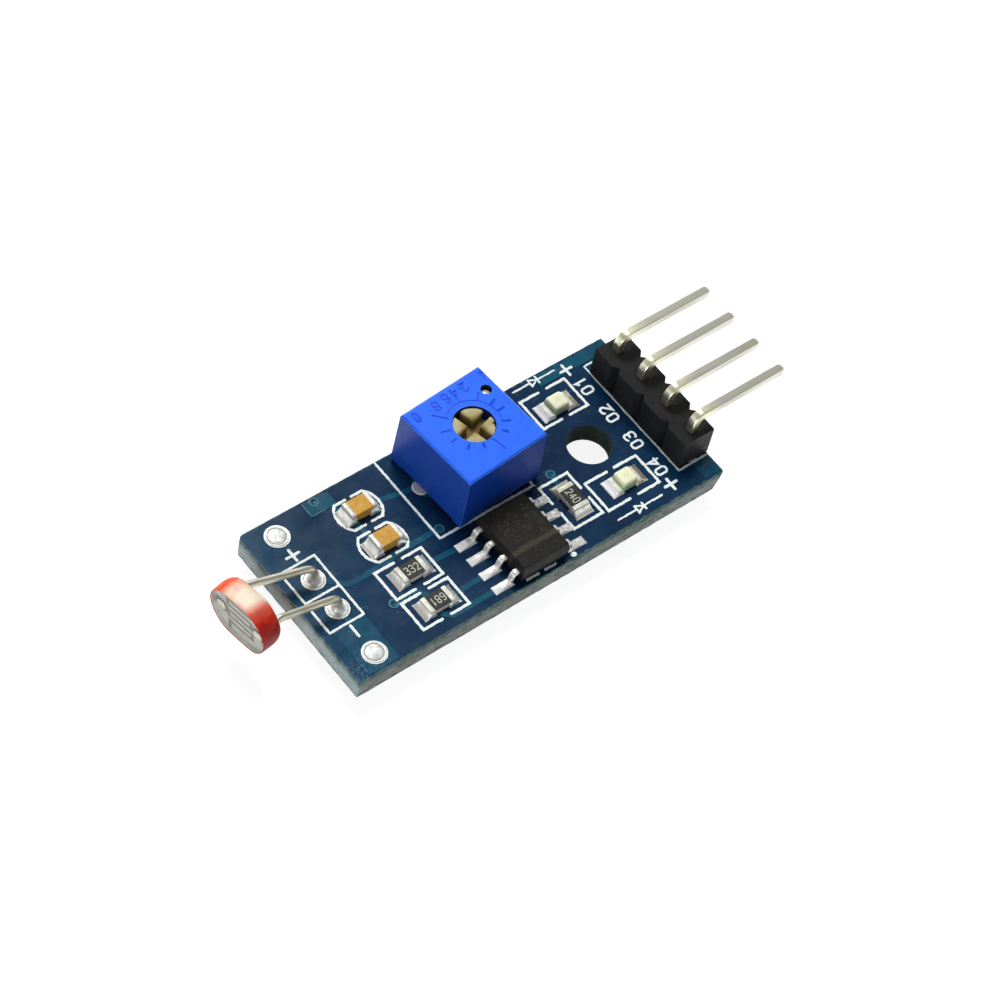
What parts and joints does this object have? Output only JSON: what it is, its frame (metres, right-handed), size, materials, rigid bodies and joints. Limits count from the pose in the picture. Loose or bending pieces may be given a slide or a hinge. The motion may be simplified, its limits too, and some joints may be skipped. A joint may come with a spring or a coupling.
{
  "type": "light sensor module",
  "caption": "Small circuit board that compares a round light cell on bent leads with a trim potentiometer and has a right-angle pin header.",
  "frame": {"origin": "centre of the mounting hole on the underside of the board", "axes": "+X towards the header and its pin tips, +Z out of the component side, +Y completes the right-handed set"},
  "size_m": [0.0411, 0.013, 0.0077],
  "materials": {
    "board_laminate": "glossy solder mask",
    "masked_copper": "copper under solder mask",
    "tin": "bright solder",
    "pin_metal": "tinned, satin",
    "lead_wire": "tinned wire",
    "header_plastic": "satin",
    "chip_resin": "matt",
    "housing_plastic": "satin",
    "rotor_plastic": "satin",
    "spring_metal": "plain",
    "ceramic": "plain",
    "film": "matt",
    "seal_rubber": "matt",
    "closing_resin": "matt",
    "cell_coat": "glossy resin",
    "cell_glass": "clear resin",
    "cell_electrode": "satin film",
    "cell_line": "sensing film",
    "resistor_glaze": "glossy",
    "chip_ends": "tinned",
    "capacitor_ceramic": "plain",
    "lamp_board": "matt",
    "lamp_lens": "clear resin",
    "lamp_die": "plain"
  },
  "bodies": {
    "module": {"board": "board_laminate", "copper_top": "masked_copper", "copper_bottom": "masked_copper", "plated_holes": "tin", "solder_pads": "tin", "solder_chips": "tin", "solder_comparator": "tin", "solder_header": "tin", "solder_trimpot": "tin", "solder_cell": "tin", "solder_test_holes": "tin", "header_body": "header_plastic", "comparator_body": "chip_resin", "comparator_leads": "tin", "trimpot_housing": "housing_plastic", "trimpot_element": "ceramic", "trimpot_film": "film", "trimpot_seal": "seal_rubber", "trimpot_fill": "closing_resin", "cell_ceramic": "ceramic", "cell_electrodes": "cell_electrode", "cell_line": "cell_line", "cell_window": "cell_glass", "cell_coat_resin": "cell_coat", "header_pin_1": "pin_metal", "header_pin_2": "pin_metal", "header_pin_3": "pin_metal", "header_pin_4": "pin_metal", "trimpot_terminal_1": "pin_metal", "trimpot_terminal_2": "pin_metal", "trimpot_terminal_3": "pin_metal", "cell_lead_1": "lead_wire", "cell_lead_2": "lead_wire", "resistor_1_body": "ceramic", "resistor_1_glaze": "resistor_glaze", "resistor_1_ends": "chip_ends", "resistor_2_body": "ceramic", "resistor_2_glaze": "resistor_glaze", "resistor_2_ends": "chip_ends", "resistor_3_body": "ceramic", "resistor_3_glaze": "resistor_glaze", "resistor_3_ends": "chip_ends", "capacitor_1_body": "capacitor_ceramic", "capacitor_1_ends": "chip_ends", "capacitor_2_body": "capacitor_ceramic", "capacitor_2_ends": "chip_ends", "lamp_1_base": "lamp_board", "lamp_1_lens": "lamp_lens", "lamp_1_die": "lamp_die", "lamp_1_ends": "chip_ends", "lamp_2_base": "lamp_board", "lamp_2_lens": "lamp_lens", "lamp_2_die": "lamp_die", "lamp_2_ends": "chip_ends"},
    "rotor": {"trimpot_rotor": "rotor_plastic", "trimpot_wiper": "spring_metal"}
  },
  "joints": [
    {"name": "trimmer_turn", "type": "hinge", "parent": "module", "child": "rotor", "pos_m": [-0.00819, 0.00291, 0.0045], "axis": [0, 0, 1], "range_deg": [-110, 110]}
  ]
}
